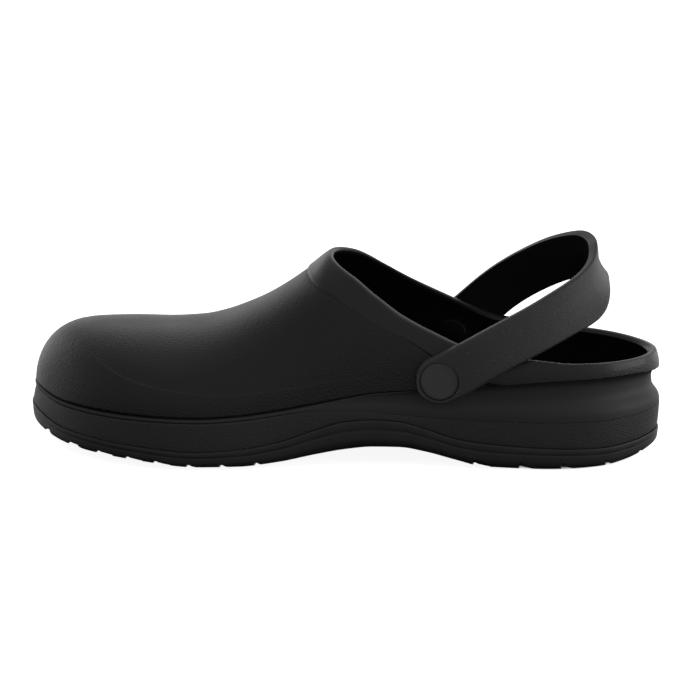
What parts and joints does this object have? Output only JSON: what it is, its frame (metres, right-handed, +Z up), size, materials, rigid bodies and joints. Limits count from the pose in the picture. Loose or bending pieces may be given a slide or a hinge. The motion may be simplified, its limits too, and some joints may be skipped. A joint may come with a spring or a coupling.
{
  "type": "clog",
  "caption": "Moulded black work clog for the left foot: closed bulbous toe, open collar, low heel rim, rubber outsole and a heel strap swung up on its rivets.",
  "frame": {"origin": "middle of the bounding box at floor level, under the sole", "axes": "+X runs from the toe to the heel, -Y is the outer (lateral) side of the foot, +Z is up"},
  "size_m": [0.2877, 0.1062, 0.0984],
  "materials": {
    "upper_foam": "matte leather grain",
    "sole_foam": "fine grain with a satin cove",
    "outsole_rubber": "satin",
    "footbed": "matte",
    "strap_foam": "fine sandy grain",
    "rivet_plastic": "satin"
  },
  "bodies": {
    "root": {"upper": "upper_foam", "midsole": "sole_foam", "outsole": "outsole_rubber", "insole": "footbed", "heel_strap": "strap_foam", "rivet_outer_lateral": "rivet_plastic", "rivet_outer_medial": "rivet_plastic", "rivet_inner_lateral": "rivet_plastic", "rivet_inner_medial": "rivet_plastic"}
  },
  "joints": []
}
